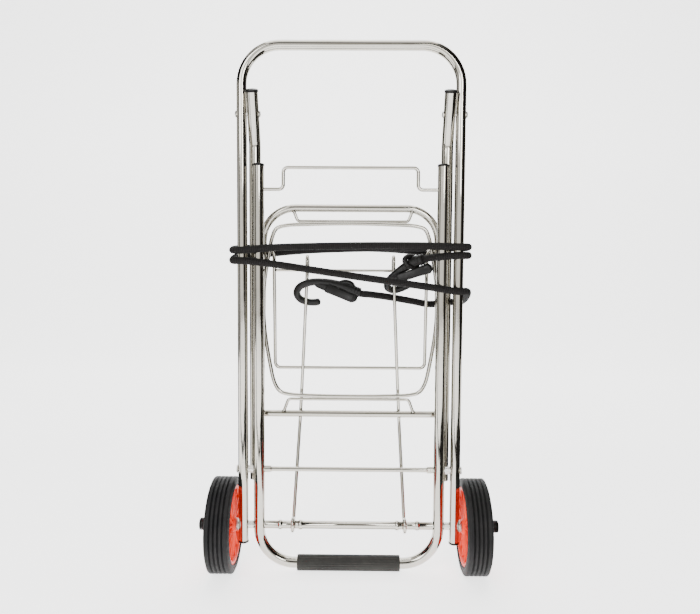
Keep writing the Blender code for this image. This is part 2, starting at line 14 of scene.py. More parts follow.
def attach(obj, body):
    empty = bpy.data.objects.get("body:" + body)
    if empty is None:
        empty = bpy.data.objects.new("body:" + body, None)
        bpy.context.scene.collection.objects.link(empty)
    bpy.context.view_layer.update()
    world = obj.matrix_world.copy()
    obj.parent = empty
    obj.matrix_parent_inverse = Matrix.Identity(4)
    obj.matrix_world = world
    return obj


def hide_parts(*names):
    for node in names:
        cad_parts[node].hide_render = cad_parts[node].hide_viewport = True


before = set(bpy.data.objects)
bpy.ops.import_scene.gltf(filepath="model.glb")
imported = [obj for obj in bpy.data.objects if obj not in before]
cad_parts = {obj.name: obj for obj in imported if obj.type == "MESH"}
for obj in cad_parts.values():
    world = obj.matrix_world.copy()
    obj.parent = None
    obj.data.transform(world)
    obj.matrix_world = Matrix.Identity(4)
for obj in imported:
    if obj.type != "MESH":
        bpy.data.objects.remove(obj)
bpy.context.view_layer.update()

MM = 0.001
GAP = 0.3 * MM

WHEEL_R = 60 * MM
WHEEL_IN = 144.5 * MM
WHEEL_OUT = 175.5 * MM
RIM_R = 49 * MM
AXLE_R = 3 * MM
AXLE_END = 187 * MM
HANDLE_R, HANDLE_X = 6.35 * MM, 135.5 * MM
HANDLE_TOP_Z, HANDLE_END_Z, HANDLE_BEND = 663.5 * MM, 38 * MM, 47 * MM
INNER_R, INNER_X = 7 * MM, 115 * MM
INNER_TOP_Z, INNER_BEND = 518 * MM, 46 * MM
FOOT_Z = 10.11 * MM
SIDE_R, SIDE_X, SIDE_Y = 7.5 * MM, 121.3 * MM, 13.9 * MM
SIDE_END_Z, SIDE_LEAN_Z, SIDE_BEND = 116 * MM, 545 * MM, 25 * MM
SIDE_TOP_Y, SIDE_TOP_Z = -10.3 * MM, 606 * MM
RIVET_Z = 580 * MM
ROD_Z = 133 * MM
PLATFORM_R, PLATFORM_Y = 5 * MM, 27 * MM
PLATFORM_TOP_X, PLATFORM_TOP_Z, PLATFORM_BEND = 112.2 * MM, 467 * MM, 42 * MM
PLATFORM_END_X, PLATFORM_END_Z = 118.9 * MM, 128 * MM
PLATFORM_BAR_R, PLATFORM_BAR_Z = 4.5 * MM, 199 * MM
LEG_LINE_X, LEG_LINE_Z = 119 * MM, 121 * MM  # on the line of a leg, 7 mm under its end
WIRE_R = 2.25 * MM
LUG_OUT_X = 127.6 * MM
FOOT_PIVOT_Z, FOOT_TIP_Y, FOOT_TIP_Z = 414.9 * MM, 40 * MM, 258 * MM
CROSS_Z = 387 * MM
CORD_R = 4.5 * MM
CORD_FRONT_Y = -12.2 * MM
CORD_BACK_Y = 46 * MM
CORD_FAR_Y = 55.3 * MM
HOOK_R = 4.9 * MM
SIDES = (("left", -1), ("right", 1))


# Materials


def math_node(tree, operation, first, second=0.0):
    """The output of a math node, fed by numbers or by other nodes' outputs."""
    node = tree.nodes.new("ShaderNodeMath")
    node.operation = operation
    for socket, value in zip(node.inputs, (first, second)):
        if isinstance(value, (int, float)):
            socket.default_value = value
        else:
            tree.links.new(value, socket)
    return node.outputs[0]


class Nodes:
    """A material's node tree, with short calls for the nodes that the finishes share."""

    def __init__(self, name, colour, roughness, metallic=0.0, **sockets):
        self.material = bpy.data.materials.new(name)
        self.material.use_nodes = True
        self.tree = self.material.node_tree
        self.shader = self.tree.nodes["Principled BSDF"]
        self.set("Base Color", (*colour, 1))
        self.set("Roughness", roughness)
        self.set("Metallic", metallic)
        for socket, value in sockets.items():
            self.set(socket.replace("_", " "), value)
        self.place = self.add("ShaderNodeTexCoord").outputs["Object"]

    def set(self, socket, value):
        self.shader.inputs[socket].default_value = value

    def add(self, kind, **settings):
        node = self.tree.nodes.new(kind)
        for setting, value in settings.items():
            setattr(node, setting, value)
        return node

    def link(self, output, target):
        self.tree.links.new(output, target)

    def noise(self, scale, detail=3.0):
        node = self.add("ShaderNodeTexNoise")
        node.inputs["Scale"].default_value = scale
        node.inputs["Detail"].default_value = detail
        self.link(self.place, node.inputs["Vector"])
        return node.outputs["Fac"]

    def math(self, operation, first, second=0.0):
        return math_node(self.tree, operation, first, second)

    def spread(self, value, low, high):
        node = self.add("ShaderNodeMapRange")
        node.inputs["From Min"].default_value = 0.3
        node.inputs["From Max"].default_value = 0.7
        node.inputs["To Min"].default_value = low
        node.inputs["To Max"].default_value = high
        self.link(value, node.inputs["Value"])
        return node.outputs["Result"]

    def tint(self, value, dark, light):
        node = self.add("ShaderNodeMix", data_type="RGBA")
        node.inputs[6].default_value = (*dark, 1)
        node.inputs[7].default_value = (*light, 1)
        self.link(value, node.inputs[0])
        self.link(node.outputs[2], self.shader.inputs["Base Color"])

    def rough(self, value, low, high):
        self.link(self.spread(value, low, high), self.shader.inputs["Roughness"])

    def bump(self, height, strength, distance):
        node = self.add("ShaderNodeBump")
        node.inputs["Strength"].default_value = strength
        node.inputs["Distance"].default_value = distance
        self.link(height, node.inputs["Height"])
        self.link(node.outputs["Normal"], self.shader.inputs["Normal"])


def chrome_finish():
    m = Nodes("chrome", (0.48, 0.46, 0.41), 0.07, 1.0)
    m.tint(m.spread(m.noise(14), 0, 1), (0.44, 0.42, 0.37), (0.52, 0.5, 0.455))
    m.rough(m.noise(60, 5), 0.045, 0.12)
    m.bump(m.noise(35, 2), 0.05, 0.0004)
    return m.material


def zinc_finish():
    m = Nodes("zinc", (0.72, 0.71, 0.68), 0.3, 1.0)
    m.tint(m.spread(m.noise(90), 0, 1), (0.6, 0.58, 0.54), (0.78, 0.77, 0.74))
    m.rough(m.noise(300, 4), 0.2, 0.4)
    return m.material


def moulded_finish(name, dark, light, rough, grain, **sockets):
    m = Nodes(name, light, rough, **sockets)
    m.tint(m.spread(m.noise(40), 0, 1), dark, light)
    m.rough(m.noise(220, 4), rough - 0.06, rough + 0.08)
    m.bump(m.noise(grain, 4), 0.25, 0.0002)
    return m.material


def braid_finish():
    """Strands crossing on the cord, drawn on its own lengthwise coordinates, with painted shade in the
    hollows between the strands.
    """
    m = Nodes("braid", (0.02, 0.018, 0.018), 0.7, Sheen_Weight=0.02, Specular_IOR_Level=0.15)
    uv = m.add("ShaderNodeUVMap", uv_map="along")
    split = m.add("ShaderNodeSeparateXYZ")
    m.link(uv.outputs["UV"], split.inputs[0])
    strands, pitch = 10, 5.2 * MM
    turn = m.math("MULTIPLY", split.outputs["X"], strands * 2 * pi)
    along = m.math("MULTIPLY", split.outputs["Y"], 2 * pi / pitch)
    one = m.math("SINE", m.math("ADD", turn, along))
    other = m.math("SINE", m.math("SUBTRACT", turn, along))
    weave = m.math("MULTIPLY", m.math("MULTIPLY", one, other), 0.5)
    weave = m.math("ADD", weave, 0.5)
    # The colour follows the weave's height: painted shade, darker in the hollows between the strands and
    # lighter on their tops.
    m.tint(m.spread(weave, 0, 1), (0.002, 0.0018, 0.0018), (0.011, 0.0095, 0.009))
    m.rough(m.noise(900), 0.6, 0.85)
    m.bump(weave, 0.8, 0.0006)
    return m.material


DIM = {"Specular_IOR_Level": 0.22}
CHROME = chrome_finish()
ZINC = zinc_finish()
BLACK = moulded_finish("black_plastic", (0.003, 0.003, 0.003), (0.007, 0.0065, 0.006), 0.36, 900, **DIM)
SLEEVE = moulded_finish("sleeve_plastic", (0.014, 0.0135, 0.012), (0.026, 0.025, 0.022), 0.55, 700, **DIM)
RUBBER = moulded_finish("tyre_rubber", (0.005, 0.005, 0.0055), (0.012, 0.0115, 0.0115), 0.6, 800, **DIM)
RED = moulded_finish("red_plastic", (0.8, 0.032, 0.006), (0.95, 0.055, 0.01), 0.42, 300, **DIM)
CORD = braid_finish()
CARD = Nodes("dark_card", (0.008, 0.007, 0.006), 0.9, Specular_IOR_Level=0.0).material


# Shapes


def place_piece(name, shape, finish, body, smooth_below=40):
    """A piece from this bmesh, riding on a body in place of the CAD node of the same name."""
    bmesh.ops.recalc_face_normals(shape, faces=shape.faces)
    mesh = bpy.data.meshes.new(name)
    shape.to_mesh(mesh)
    shape.free()
    mesh.shade_smooth()
    mesh.set_sharp_from_angle(angle=radians(smooth_below))
    mesh.materials.append(finish)
    piece = bpy.data.objects.new(name, mesh)
    bpy.context.scene.collection.objects.link(piece)
    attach(piece, body)
    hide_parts(name)


def rounded(corners, bend, steps=14):
    """A path through these corners, each inner one replaced by an arc of radius bend."""
    corners = [Vector(c) for c in corners]
    path = [corners[0]]
    for before, corner, after in zip(corners, corners[1:], corners[2:]):
        back = (before - corner).normalized()
        ahead = (after - corner).normalized()
        half = back.angle(ahead) / 2
        centre = corner + (back + ahead).normalized() * (bend / sin(half))
        first = (corner + back * (bend / tan(half)) - centre).normalized()
        last = (corner + ahead * (bend / tan(half)) - centre).normalized()
        path += [centre + first.slerp(last, step / steps) * bend for step in range(steps + 1)]
    return path + [corners[-1]]


def through(points, steps=8, closed=False):
    """A centripetal Catmull-Rom curve through these points."""
    points = [Vector(p) for p in points]
    count = len(points)
    if closed:
        ring = [points[-1], *points, points[0], points[1]]
    else:
        ring = [2 * points[0] - points[1], *points, 2 * points[-1] - points[-2]]
    path = []
    for i in range(count if closed else count - 1):
        a, b, c, d = ring[i : i + 4]
        t0 = 0.0
        t1 = t0 + max((b - a).length, 1e-6) ** 0.5
        t2 = t1 + max((c - b).length, 1e-6) ** 0.5
        t3 = t2 + max((d - c).length, 1e-6) ** 0.5
        for step in range(steps):
            t = t1 + (t2 - t1) * step / steps
            ab = a.lerp(b, (t - t0) / (t1 - t0))
            bc = b.lerp(c, (t - t1) / (t2 - t1))
            cd = c.lerp(d, (t - t2) / (t3 - t2))
            left = ab.lerp(bc, (t - t0) / (t2 - t0))
            right = bc.lerp(cd, (t - t1) / (t3 - t1))
            path.append(left.lerp(right, (t - t1) / (t2 - t1)))
    return path if closed else path + [points[-1]]


def sweep(path, radius, around=20, closed=False, swell=None, flat=1.0, flat_way=None):
    """A round bar along a path, with lengthwise coordinates. swell(metres along, metres in all) scales it."""
    shape = bmesh.new()
    uv = shape.loops.layers.uv.new("along")
    count = len(path)
    lengths = [0.0]
    for a, b in zip(path, path[1:]):
        lengths.append(lengths[-1] + (b - a).length)
    rings = []
    across = None
    for i, point in enumerate(path):
        ahead = path[(i + 1) % count] if closed or i < count - 1 else point
        behind = path[i - 1] if closed or i > 0 else point
        way = (ahead - behind).normalized()
        if across is None:
            across = flat_way or (Vector((1, 0, 0)) if abs(way.x) < 0.8 else Vector((0, 0, 1)))
        across = (across - way * across.dot(way)).normalized()
        side = way.cross(across)
        size = radius * (swell(lengths[i], lengths[-1]) if swell else 1)
        ring = []
        for j in range(around):
            angle = 2 * pi * j / around
            ring.append(shape.verts.new(point + (across * cos(angle) * flat + side * sin(angle)) * size))
        rings.append(ring)
    total = lengths[-1] + ((path[0] - path[-1]).length if closed else 0)
    for i in range(count if closed else count - 1):
        low, high = rings[i], rings[(i + 1) % count]
        ends = (lengths[i], lengths[i + 1] if i + 1 < count else total)
        for j in range(around):
            k = (j + 1) % around
            face = shape.faces.new((low[j], low[k], high[k], high[j]))
            shares = ((j, 0), (j + 1, 0), (j + 1, 1), (j, 1))
            for loop, (turn, end) in zip(face.loops, shares):
                loop[uv].uv = (turn / around, ends[end])
    if not closed:
        shape.faces.new(rings[0][::-1])
        shape.faces.new(rings[-1])
    return shape


def flared(amount, reach):
    """A bar thickened at both ends, as where it is welded on."""

    def swell(at, length):
        near = min(at, length - at)
        return 1 + amount * max(0.0, 1 - near / reach) ** 2

    return swell


def with_end_points(path, reach, steps=5):
    """The path with more points along its last stretch at each end."""
    first, last = path[0], path[-1]
    start = (path[1] - first).normalized()
    end = (path[-2] - last).normalized()
    head = [first + start * reach * i / steps for i in range(steps + 1)]
    tail = [last + end * reach * i / steps for i in range(steps + 1)][::-1]
    return head + path[1:-1] + tail


def bar(name, path, radius, body, finish=CHROME, **more):
    place_piece(name, sweep(path, radius, **more), finish, body)


def welded_bar(name, path, radius, body, amount=0.35):
    reach = 3 * MM
    bar(name, with_end_points(path, reach), radius, body, swell=flared(amount, reach))


def lathe(profile, side, y, z, steps=64, closed=True):
    """A bmesh turned about an X axis from points (radius, distance off the middle)."""
    shape = bmesh.new()
    rings = []
    for radius, off in profile:
        if radius < 1e-6:
            rings.append([shape.verts.new((side * off, y, z))])
            continue
        ring = []
        for j in range(steps):
            angle = 2 * pi * j / steps
            ring.append(shape.verts.new((side * off, y + radius * cos(angle), z + radius * sin(angle))))
        rings.append(ring)
    pairs = list(zip(rings, rings[1:]))
    if closed:
        pairs.append((rings[-1], rings[0]))
    for low, high in pairs:
        for j in range(steps):
            k = (j + 1) % steps
            corners = [low[j % len(low)], low[k % len(low)], high[k % len(high)], high[j % len(high)]]
            unique = list(dict.fromkeys(corners))
            if len(unique) > 2:
                shape.faces.new(unique)
    return shape


def turned(name, profile, side, y, z, finish, body, steps=64, closed=True):
    place_piece(name, lathe(profile, side, y, z, steps, closed), finish, body)


def softened(profile, cut):
    """A closed profile with each corner cut twice, as an edge that is slightly round."""
    made = []
    count = len(profile)
    for i, point in enumerate(profile):
        here = Vector(point)
        for other in (Vector(profile[i - 1]), Vector(profile[(i + 1) % count])):
            way = other - here
            made.append(tuple(here + way * min(cut / max(way.length, 1e-9), 0.3)))
    return made


def box_shape(shape, size, place, bevel):
    """Adds a bevelled block to a bmesh."""
    block = bmesh.new()
    bmesh.ops.create_cube(block, size=1)
    bmesh.ops.scale(block, vec=size, verts=block.verts)
    bmesh.ops.bevel(block, geom=block.edges[:], offset=bevel, segments=3, affect="EDGES", profile=0.5)
    bmesh.ops.transform(block, matrix=place, verts=block.verts)
    join(shape, block)


def join(shape, other):
    """Adds another bmesh's faces to a bmesh."""
    held = bpy.data.meshes.new("held")
    other.to_mesh(held)
    other.free()
    shape.from_mesh(held)
    bpy.data.meshes.remove(held)


# Chrome tubes and wires


def frames():
    """The handle frame, the inner frame and the two side tubes, with the plugs in their ends."""
    top, low, x = HANDLE_TOP_Z, HANDLE_END_Z, HANDLE_X
    corners = [(-x, 0, low), (-x, 0, top), (x, 0, top), (x, 0, low)]
    bar("handle_frame", rounded(corners, HANDLE_BEND), HANDLE_R, "frame", around=32)
    top, x = INNER_TOP_Z, INNER_X
    corners = [(-x, 0, top), (-x, 0, FOOT_Z), (x, 0, FOOT_Z), (x, 0, top)]
    bar("inner_frame", rounded(corners, INNER_BEND), INNER_R, "frame", around=32)
    for word, side in SIDES:
        x = side * SIDE_X
        corners = [(x, SIDE_Y, SIDE_END_Z), (x, SIDE_Y, SIDE_LEAN_Z), (x, SIDE_TOP_Y, SIDE_TOP_Z)]
        path = rounded(corners, SIDE_BEND)
        bar(f"side_tube_{word}", path, SIDE_R, "frame", around=32)
        plug(f"side_tube_cap_{word}", path[-1], path[-1] - path[-2], SIDE_R)
        plug(f"handle_plug_{word}", (side * HANDLE_X, 0, HANDLE_END_Z), (0, 0, -1), HANDLE_R)
        plug(f"inner_frame_plug_{word}", (side * INNER_X, 0, INNER_TOP_Z), (0, 0, 1), INNER_R)


def plug(name, end, way, tube_r):
    """A low domed cap with a thin rim on a tube's end."""
    end, way = Vector(end), Vector(way).normalized()
    profile = [(-1.4, 1.05), (0.6, 1.06), (1.2, 1.0), (1.7, 0.86), (2.1, 0.6), (2.3, 0.3)]
    path = [end + way * along * MM for along, _ in profile]
    lengths = [(along - profile[0][0]) * MM for along, _ in profile]
    sizes = [share for _, share in profile]

    def swell(at, _):
        nearest = min(range(len(lengths)), key=lambda i: abs(lengths[i] - at))
        return sizes[nearest]

    bar(name, path, tube_r, "frame", finish=BLACK, swell=swell, around=32)


def leg_x(z):
    """How far off the middle the platform's leg stands at this height."""
    share = (z - LEG_LINE_Z) / (PLATFORM_TOP_Z - LEG_LINE_Z)
    return LEG_LINE_X + (PLATFORM_TOP_X - LEG_LINE_X) * share


def with_dome(path):
    """The path with points close together over its last few millimetres, where it is domed."""
    end, before = path[-1], path[-2]
    back = (before - end).normalized()
    return path[:-1] + [end + back * PLATFORM_R * (1 - sin(pi / 2 * i / 8)) for i in range(9)]


def platform():
    """The platform's frame, its legs' ends domed, with its bar, loop and staples."""
    y = PLATFORM_Y
    corners = [(-PLATFORM_END_X, y, PLATFORM_END_Z), (-PLATFORM_TOP_X, y, PLATFORM_TOP_Z)]
    corners += [(-a, b, c) for a, b, c in corners[::-1]]
    path = with_dome(rounded(corners, PLATFORM_BEND)[::-1])
    path = with_dome(path[::-1])

    def domed(at, length):
        rest = max(PLATFORM_R - min(at, length - at), 0)
        return max(1 - (rest / PLATFORM_R) ** 2, 0.01) ** 0.5

    bar("platform_frame", path, PLATFORM_R, "platform", around=28, swell=domed)
    end = leg_x(PLATFORM_BAR_Z) - 3 * MM
    path = [Vector((x, y, PLATFORM_BAR_Z)) for x in (-end, 0, end)]
    welded_bar("platform_bar", path, PLATFORM_BAR_R, "platform", 0.2)
    platform_loop()
    staples()


def platform_loop():
    """The rounded loop of wire between the platform's bars."""
    half = [(0, 447), (50, 446), (84, 444), (95, 440), (100, 430), (106, 400), (111, 365), (111.8, 343)]
    half += [(110, 310), (104, 270), (97, 240), (90, 230), (80, 226.5), (45, 224.5), (0, 224)]
    outline = half + [(-x, z) for x, z in reversed(half[1:-1])]
    points = [(x * MM, 18.8 * MM, z * MM) for x, z in outline]
    bar("platform_loop", through(points, closed=True), 2.5 * MM, "platform", closed=True)


def staples():
    """The shallow U-shaped wires that join the loop to the platform's bars."""
    upper = [(-73, 463), (-68, 450), (74, 450), (79, 463)]
    lower = [(-86, 202.5), (-80, 219), (77, 219), (83, 202.5)]
    for name, outline in (("upper_staple", upper), ("lower_staple", lower)):
        path = rounded([(x * MM, 24 * MM, z * MM) for x, z in outline], 5 * MM, 8)
        welded_bar(name, path, 2 * MM, "platform", 0.6)


def foot_y(z):
    """How far back the foot's wire lies at this height."""
    return PLATFORM_Y + (FOOT_TIP_Y - PLATFORM_Y) * (FOOT_PIVOT_Z - z) / (FOOT_PIVOT_Z - FOOT_TIP_Z)


def foot():
    x, inside, z = 99 * MM, 112.4 * MM, FOOT_PIVOT_Z
    corners = [(-inside, PLATFORM_Y, z), (-x, PLATFORM_Y, z), (-x, FOOT_TIP_Y, FOOT_TIP_Z)]
    corners += [(-a, b, c) for a, b, c in corners[::-1]]
    bar("foot_wire", rounded(corners, 7 * MM), WIRE_R, "foot")
    ends = [Vector((side * 97.5 * MM, foot_y(CROSS_Z), CROSS_Z)) for side in (-1, 0, 1)]
    welded_bar("foot_cross_wire", ends, 1.8 * MM, "foot", 0.7)


def arc(y, z, radius, start, stop, steps):
    """Points (y, z) round an arc between two angles in degrees."""
    angles = [radians(start + (stop - start) * step / steps) for step in range(steps + 1)]
    return [(y + radius * cos(a), z + radius * sin(a)) for a in angles]


def tie_rods():
    """Each rod from its eye round the axle, back and up to its long eye round the foot's cross wire."""
    low_x, high_x = 72 * MM, 56 * MM
    front = foot_y(CROSS_Z) - 4.6 * MM
    eye_r = 6.9 * MM
    middle = front + eye_r
    axle_z, top_z = WHEEL_R, CROSS_Z - 8 * MM
    outline = arc(0, axle_z, 7.9 * MM, 58, 346, 30)
    outline += [(33.2 * MM, 180 * MM), (34.4 * MM, 187 * MM), (34.7 * MM, 194 * MM)]
    outline += [(34.7 * MM, 255 * MM), (34.3 * MM, 266 * MM), (front, top_z)]
    outline += arc(middle, CROSS_Z + 11 * MM, eye_r, 180, 0, 18)
    outline += arc(middle, CROSS_Z + 0.4 * MM, eye_r, 0, -95, 12)
    for word, side in SIDES:
        path = []
        for y, z in outline:
            share = min(max((z - axle_z) / (top_z - axle_z), 0), 1)
            path.append(Vector((side * (low_x + (high_x - low_x) * share), y, z)))
        bar(f"tie_rod_{word}", path, 2.2 * MM, f"tie_rod_{word}")


def retaining_wire():
    low, high, x, end = 488 * MM, 515 * MM, 84 * MM, 114 * MM
    corners = [(-end, 0, low), (-x, 0, low), (-x, 0, high), (x, 0, high), (x, 0, low), (end, 0, low)]
    bar("retaining_wire", rounded(corners, 6 * MM), WIRE_R, "retaining_wire")


# Axle, rod and fasteners


def pin_profile(low, high, radius=2.5 * MM, head_r=4.2 * MM, head=1.9 * MM):
    """A pin with a domed head at each end, from one face to the other."""
    dome = [(head_r * cos(radians(a)), head * sin(radians(a))) for a in range(0, 91, 15)]
    top = [(r, high + GAP + d) for r, d in reversed(dome)]
    bottom = [(r, low - GAP - d) for r, d in dome]
    return top + [(radius, high), (radius, low)] + bottom


def fasteners():
    between = (INNER_X + INNER_R, HANDLE_X - HANDLE_R)
    outside = HANDLE_X + HANDLE_R + GAP
    for word, side in SIDES:
        rivet = pin_profile(SIDE_X - SIDE_R, HANDLE_X + HANDLE_R)
        turned(f"upper_rivet_{word}", rivet, side, 0, RIVET_Z, ZINC, "frame", closed=False)
        pin = pin_profile(leg_x(ROD_Z) - PLATFORM_R, LUG_OUT_X)
        turned(f"hinge_pin_{word}", pin, side, PLATFORM_Y, ROD_Z, ZINC, "frame", closed=False)
        sleeve(f"rod_spacer_{word}", side, *between, 5 * MM, ROD_Z)
        sleeve(f"axle_spacer_{word}", side, *between, 5 * MM, WHEEL_R)
        sleeve(f"push_nut_{word}", side, outside, outside + 1.4 * MM, 5 * MM, ROD_Z)
        sleeve(f"axle_washer_{word}", side, outside, WHEEL_IN - 0.6 * MM, 7.5 * MM, WHEEL_R)
        size = (3 * MM, 12.4 * MM, 22 * MM)
        middle = (side * (LUG_OUT_X - size[0] / 2), 27.8 * MM, ROD_Z)
        lug = bmesh.new()
        box_shape(lug, size, Matrix.Translation(middle), 1.1 * MM)
        place_piece(f"hinge_lug_{word}", lug, CHROME, "frame")


def sleeve(name, side, low, high, radius, z):
    """A short zinc sleeve or washer round the axle or the cross rod."""
    corners = [(AXLE_R, high), (radius, high), (radius, low), (AXLE_R, low)]
    turned(name, softened(corners, 0.35 * MM), side, 0, z, ZINC, "frame", 48)


def both_ends(half):
    """A whole profile from the half on one side of the middle, which runs from the end inward."""
    return half + [(r, -x) for r, x in reversed(half)]


def axle():
    """The axle, the cross rod with a collar on each side, and the sleeve with its crimps."""
    tip, rod, end = AXLE_END, 143.8 * MM, 107.6 * MM
    half = [(0, tip), (AXLE_R - 0.6 * MM, tip), (AXLE_R, tip - 0.6 * MM)]
    turned("axle", both_ends(half), 1, 0, WHEEL_R, ZINC, "frame", 32, closed=False)
    half = [(0, rod), (AXLE_R - 0.6 * MM, rod), (AXLE_R, rod - 0.6 * MM), (AXLE_R, 108 * MM)]
    half += [(4.2 * MM, 107.6 * MM), (4.3 * MM, 100 * MM), (AXLE_R, 99 * MM)]
    turned("cross_rod", both_ends(half), 1, 0, ROD_Z, CHROME, "frame", 32, closed=False)
    radius, bulge = 5, 1.2
    outline = []
    for crimp in (88, 62, -62, -88):
        for share in range(-4, 5):
            reach = radius + bulge * cos(share * pi / 8)
            outline.append((reach * MM, (crimp - share * 0.75) * MM))
    profile = [(AXLE_R, end), (radius * MM, end), *outline, (radius * MM, -end), (AXLE_R, -end)]
    turned("axle_sleeve", profile, 1, 0, WHEEL_R, CHROME, "frame", 48)


# Wheels


def tyre_profile():
    """Tread with five rounded ribs, shoulders, walls with a raised ring, and the seat on the rim."""
    ribs, depth, shoulder = 5, 1.9 * MM, 2.5 * MM
    low, high = WHEEL_IN + shoulder, WHEEL_OUT - shoulder
    tread = []
    steps = 8
    for i in range(ribs * steps + 1):
        share = i / steps
        drop = depth * max(0.0, 1 - 4.2 * abs(share - round(share))) ** 0.6
        if 0.3 < share < ribs - 0.3:
            tread.append((WHEEL_R - drop, high - (high - low) * i / (ribs * steps)))
    wall = [(-2.4, -0.9), (-4, -0.2), (-6.2, 0), (-6.9, -0.5), (-8.6, -0.5), (-9.4, 0), (-10.4, -0.8)]
    upper = [(WHEEL_R + r * MM, WHEEL_OUT + x * MM) for r, x in wall]
    lower = [(WHEEL_R + r * MM, WHEEL_IN - x * MM) for r, x in wall]
    edge = [(WHEEL_R - 0.6 * MM, high + 0.9 * MM), (WHEEL_R, high)]
    other = [(r, WHEEL_IN + WHEEL_OUT - x) for r, x in reversed(edge)]
    return upper[::-1] + edge + tread + other + lower


def hub_shape(side):
    """Rim, dished web and boss, with radial ribs on both faces of the web."""
    middle = (WHEEL_IN + WHEEL_OUT) / 2
    rim, boss = RIM_R + 0.4 * MM, 9 * MM
    face = [(rim, 2.0), (rim - 1.2 * MM, 1.2), (rim - 3.6 * MM, 1.4), (rim - 4.6 * MM, 3.2)]
    outer = [(r, WHEEL_OUT - x * MM) for r, x in face]
    inner = [(r, WHEEL_IN + x * MM) for r, x in face]
    web_out = [(rim - 6 * MM, middle + 3 * MM), (boss + 2.5 * MM, middle + 3.4 * MM)]
    web_in = [(r, 2 * middle - x) for r, x in web_out]
    hub_out = [(boss + 0.6 * MM, WHEEL_OUT - 3 * MM), (boss - 0.6 * MM, WHEEL_OUT - 1.2 * MM)]
    hub_in = [(boss + 0.6 * MM, WHEEL_IN + 2 * MM), (boss - 0.6 * MM, WHEEL_IN + 0.3 * MM)]
    bore = [(3.3 * MM, WHEEL_OUT - 1.2 * MM), (3.3 * MM, WHEEL_IN + 0.3 * MM)]
    profile = outer + web_out + hub_out + bore + hub_in[::-1] + web_in[::-1] + inner[::-1]
    shape = lathe(profile, side, 0, WHEEL_R, 96)
    ribs = 16
    for i in range(ribs):
        turn = Matrix.Rotation(2 * pi * (i + 0.5) / ribs, 4, "X")
        for low, high in ((WHEEL_IN + 3.4 * MM, middle), (middle, WHEEL_OUT - 3.6 * MM)):
            size = (high - low, 1.8 * MM, rim - 3.5 * MM - boss)
            move = (side * (low + high) / 2, 0, (rim - 3.5 * MM + boss) / 2)
            place = Matrix.Translation((0, 0, WHEEL_R)) @ turn @ Matrix.Translation(move)
            box_shape(shape, size, place, 0.5 * MM)
    return shape


def cap_profile():
    """The cap on the axle's end, clear of the hub, as points (radius, distance off the middle)."""
    end, start = AXLE_END + 5 * MM, WHEEL_OUT + 0.6 * MM
    profile = [(0, end), (5.4, end), (6.8, end - 0.4 * MM), (7.6, end - 1.4 * MM)]
    profile += [(7.8, end - 5 * MM), (7.3, end - 5.4 * MM), (7.3, start + 2 * MM), (7.9, start + 1.6 * MM)]
    profile += [(7.9, start), (3.3, start), (3.3, AXLE_END + GAP), (0, AXLE_END + GAP)]
    return [(r * MM, x) for r, x in profile]


def wheels():
    for word, side in SIDES:
        body = f"wheel_{word}"
        turned(f"tyre_{word}", tyre_profile(), side, 0, WHEEL_R, RUBBER, body, 128)
        place_piece(f"wheel_hub_{word}", hub_shape(side), RED, body, 30)
        turned(f"axle_cap_{word}", cap_profile(), side, 0, WHEEL_R, BLACK, "frame", closed=False)


def foot_sleeve():
    """A soft sleeve on the bottom bar, fluted lengthwise."""
    half, radius, flutes, around = 66 * MM, 10.15 * MM, 22, 176
    stations = [(0, 8.2), (0.0, 9.4), (0.5, 10.0), (1.6, 10.15), (3.2, 10.15), (3.8, 9.7), (5.2, 9.7)]
    rings = [(-half + x * MM, r * MM) for x, r in stations]
    rings += [(-x, r) for x, r in reversed(rings)]
    shape = bmesh.new()
    loops = []
    for x, size in rings:
        ring = []
        for j in range(around):
            angle = 2 * pi * j / around
            flute = 0.45 * MM * (0.5 - 0.5 * cos(flutes * angle)) if size < radius * 0.97 else 0
            reach = size + flute
            ring.append(shape.verts.new((x, reach * cos(angle), FOOT_Z + reach * sin(angle))))
        loops.append(ring)
    for low, high in zip(loops, loops[1:]):
        for j in range(around):
            k = (j + 1) % around
            shape.faces.new((low[j], low[k], high[k], high[j]))
    shape.faces.new(loops[0][::-1])
    shape.faces.new(loops[-1])
    place_piece("foot_sleeve", shape, SLEEVE, "frame", 55)


# Elastic cord and hooks


def round_the_side(side, z_front, z_back, to_front, back_y):
    """The cord's way round one side of the frames, between its front and back runs."""
    x = 147.3 * MM
    way = [
        (side * (x - 13 * MM), CORD_FRONT_Y, z_front),
        (side * (x - 2.4 * MM), CORD_FRONT_Y + 3.2 * MM, z_front),
        (side * x, 0, z_front * 0.8 + z_back * 0.2),
        (side * x, back_y - 14 * MM, z_front * 0.2 + z_back * 0.8),
        (side * (x - 4 * MM), back_y - 4 * MM, z_back),
        (side * (x - 14 * MM), back_y, z_back),
    ]
    return way[::-1] if to_front else way


def run(*points):
    """These points, given in millimetres, in metres."""
    return [(x * MM, y * MM, z * MM) for x, y, z in points]


def cord_route():
    """From the lower hook, round the folded cart two and a half times, to the upper hook."""
    front, back, far = CORD_FRONT_Y / MM, CORD_BACK_Y / MM, CORD_FAR_Y / MM
    return [
        *run((4, 16.2, 361), (12, 17, 358), (25, 22, 356.5), (42, 31.5, 354), (60, 38.5, 351)),
        *run((82, 43.5, 347), (105, back, 343)),
        *round_the_side(1, 0.3625, 0.346, True, CORD_BACK_Y),
        *run((100, front, 367.4), (-10, front, 382.6), (-105, front, 396.2)),
        *round_the_side(-1, 0.399, 0.406, False, CORD_BACK_Y),
        *run((-60, back, 413), (60, back, 417)),
        *round_the_side(1, 0.4175, 0.417, True, CORD_BACK_Y),
        *run((90, front, 418.5), (0, front, 418), (-100, front, 415)),
        *round_the_side(-1, 0.412, 0.416, False, CORD_FAR_Y),
        *run((-60, far, 417), (60, far, 415)),
        *round_the_side(1, 0.407, 0.407, True, CORD_FAR_Y),
        *run((122, front, 406), (109, -10.6, 405), (101, -4, 404), (93, 3, 402.5), (84, 8, 400)),
    ]


